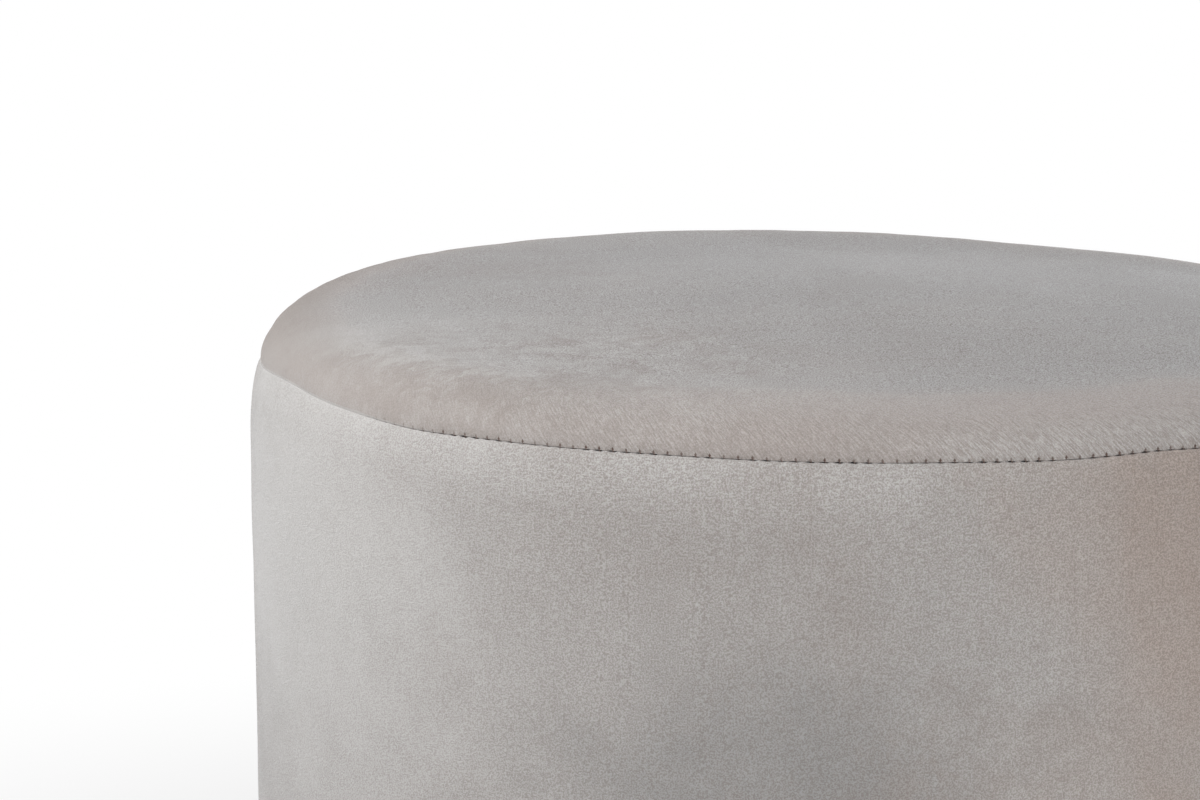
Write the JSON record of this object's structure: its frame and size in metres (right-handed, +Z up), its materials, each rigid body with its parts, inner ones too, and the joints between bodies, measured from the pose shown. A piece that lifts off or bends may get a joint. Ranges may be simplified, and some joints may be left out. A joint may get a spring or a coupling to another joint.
{
  "type": "pouf",
  "caption": "Two-lobed upholstered pouf with a rolled seat edge, a sewn seam and straight padded sides, on low glides.",
  "frame": {"origin": "on the floor, under the middle of the waist", "axes": "+Z up, +X along the long axis over both lobes, -Y towards the side taken as the front"},
  "size_m": [0.85, 0.43, 0.43],
  "materials": {
    "velvet": "short-pile velvet, warm light grey",
    "wadding": "polyester wadding",
    "foam": "open-cell foam",
    "board": "raw particle board",
    "post": "planed pine",
    "wall": "hard upholstery fibreboard",
    "zinc": "zinc plated",
    "dust_cloth": "black non-woven cloth",
    "glide_plastic": "moulded, matte"
  },
  "bodies": {
    "root": {"top_cover": "velvet", "side_cover_front": "velvet", "side_cover_back": "velvet", "top_wadding": "wadding", "seat_foam": "foam", "side_foam": "foam", "wall_front": "wall", "wall_back": "wall", "seat_board": "board", "middle_former": "board", "base_board": "board", "frame_screws": "zinc", "post_left_end": "post", "post_left_front": "post", "post_waist_front": "post", "post_right_front": "post", "post_right_end": "post", "post_right_back": "post", "post_waist_back": "post", "post_left_back": "post", "dust_cover": "dust_cloth", "dust_cover_staples": "zinc", "glide_screws": "zinc", "glide_left_end_front": "glide_plastic", "glide_left_waist_front": "glide_plastic", "glide_right_waist_front": "glide_plastic", "glide_right_end_front": "glide_plastic", "glide_right_end_back": "glide_plastic", "glide_right_waist_back": "glide_plastic", "glide_left_waist_back": "glide_plastic", "glide_left_end_back": "glide_plastic"}
  },
  "joints": []
}
